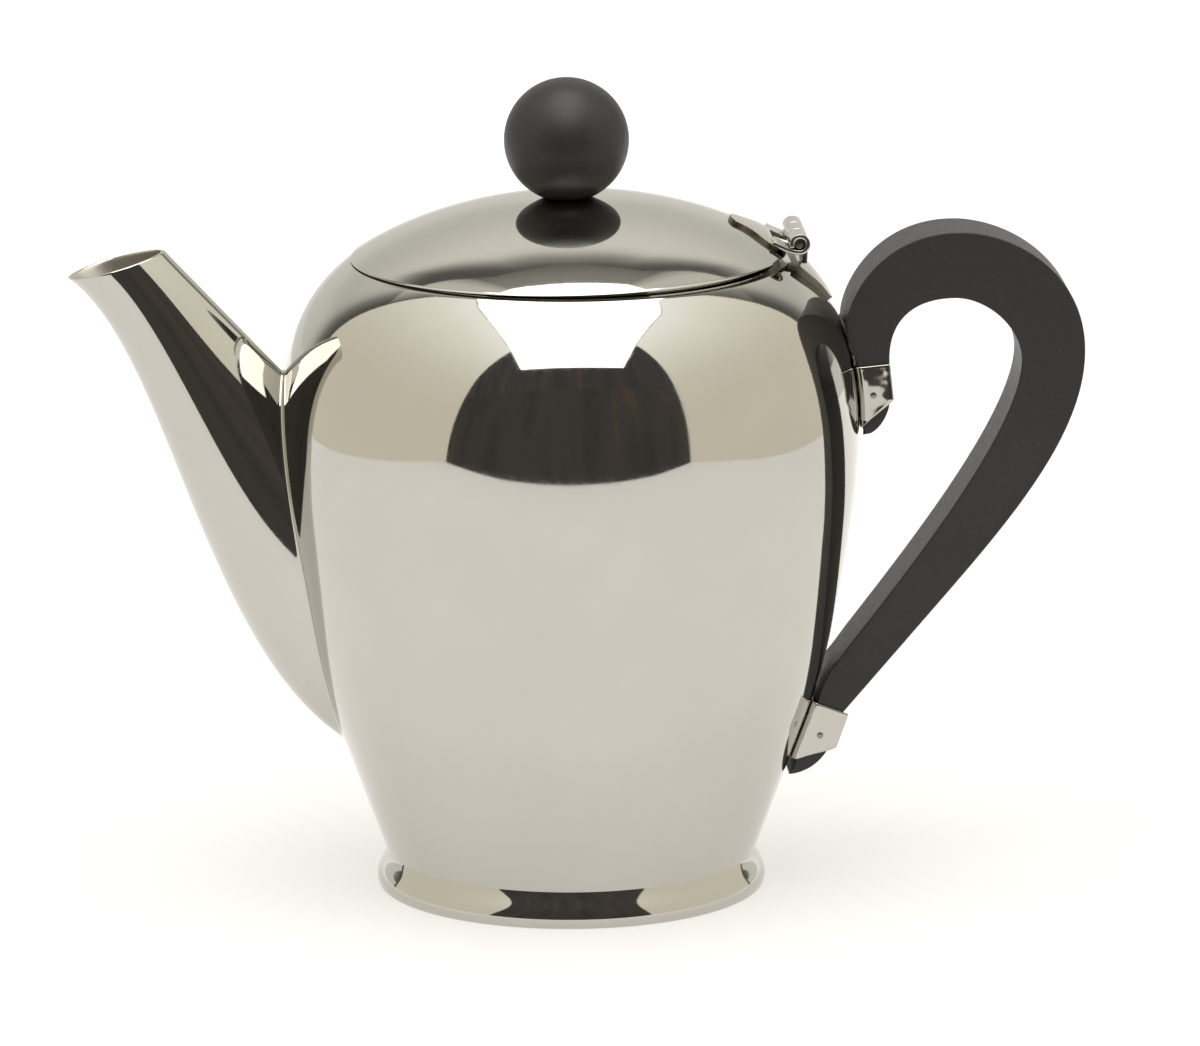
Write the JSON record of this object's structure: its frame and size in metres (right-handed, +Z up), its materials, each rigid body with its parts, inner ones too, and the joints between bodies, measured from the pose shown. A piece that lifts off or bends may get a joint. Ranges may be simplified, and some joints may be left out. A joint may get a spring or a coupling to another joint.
{
  "type": "teapot",
  "caption": "Polished steel teapot with a tapering shouldered body, long spout, hinged domed lid, ball knob and loop handle in folded brackets.",
  "frame": {"origin": "centre of the foot ring's underside, on the pot's centre line", "axes": "+Z up along the pot's centre line, spout towards -X, handle towards +X, +Y to the far side"},
  "size_m": [0.2165, 0.124, 0.1756],
  "materials": {
    "polished_steel": "mirror polished",
    "bright_steel": "polished, with small dents and dull edges",
    "black_plastic": "satin moulded",
    "brass": "turned"
  },
  "bodies": {
    "pot": {"body": "polished_steel", "mouth_collar": "polished_steel", "foot_ring": "polished_steel", "spout": "polished_steel", "hinge_body_leaf": "bright_steel", "hinge_pin": "bright_steel", "upper_bracket": "bright_steel", "lower_bracket": "bright_steel", "upper_cross_pin": "bright_steel", "lower_cross_pin": "bright_steel", "handle": "black_plastic"},
    "lid": {"lid": "polished_steel", "lid_flange": "polished_steel", "knob": "black_plastic", "knob_insert": "brass", "knob_screw": "bright_steel", "knob_washer": "bright_steel", "hinge_lid_leaf": "bright_steel"}
  },
  "joints": [
    {"name": "lid_hinge", "type": "hinge", "parent": "pot", "child": "lid", "pos_m": [0.0485, 0, 0.141], "axis": [0, 1, 0], "range_deg": [0, 135]}
  ]
}
